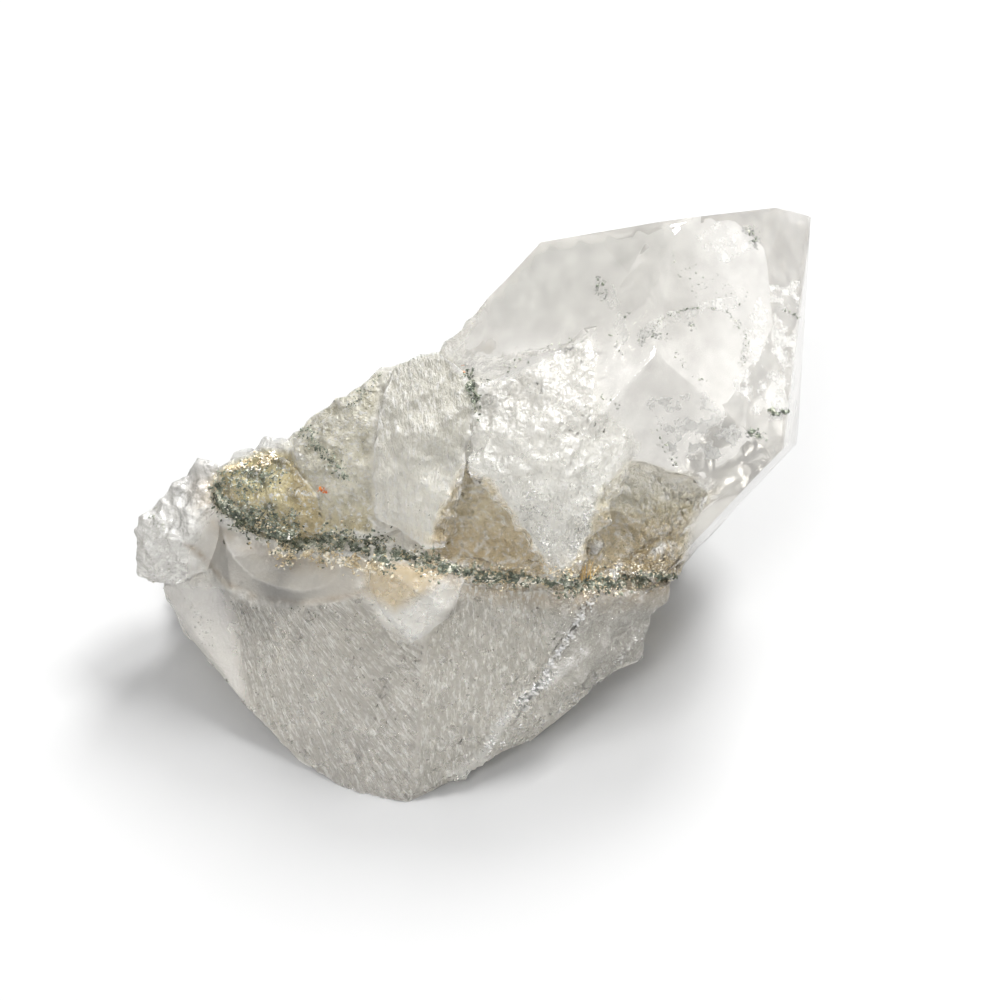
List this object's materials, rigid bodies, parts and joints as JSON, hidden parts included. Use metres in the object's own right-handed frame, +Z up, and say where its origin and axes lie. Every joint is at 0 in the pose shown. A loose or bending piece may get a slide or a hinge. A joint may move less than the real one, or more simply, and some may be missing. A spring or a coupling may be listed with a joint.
{
  "type": "quartz crystal cluster",
  "caption": "Hand specimen of clear quartz: a large crystal point on a broken cluster, with a crust of dark chlorite along the seam between the crystals.",
  "frame": {"origin": "middle of the cluster's footprint, on the surface that it rests on", "axes": "+X across the specimen to the right of its show side, +Y to its back, +Z up"},
  "size_m": [0.0738, 0.0568, 0.0485],
  "materials": {
    "quartz": "clear to frosted, with etched, fractured and stained faces",
    "chlorite": "fine granular crust"
  },
  "bodies": {
    "root": {"quartz_crystals": "quartz", "chlorite_seam": "chlorite"}
  },
  "joints": []
}
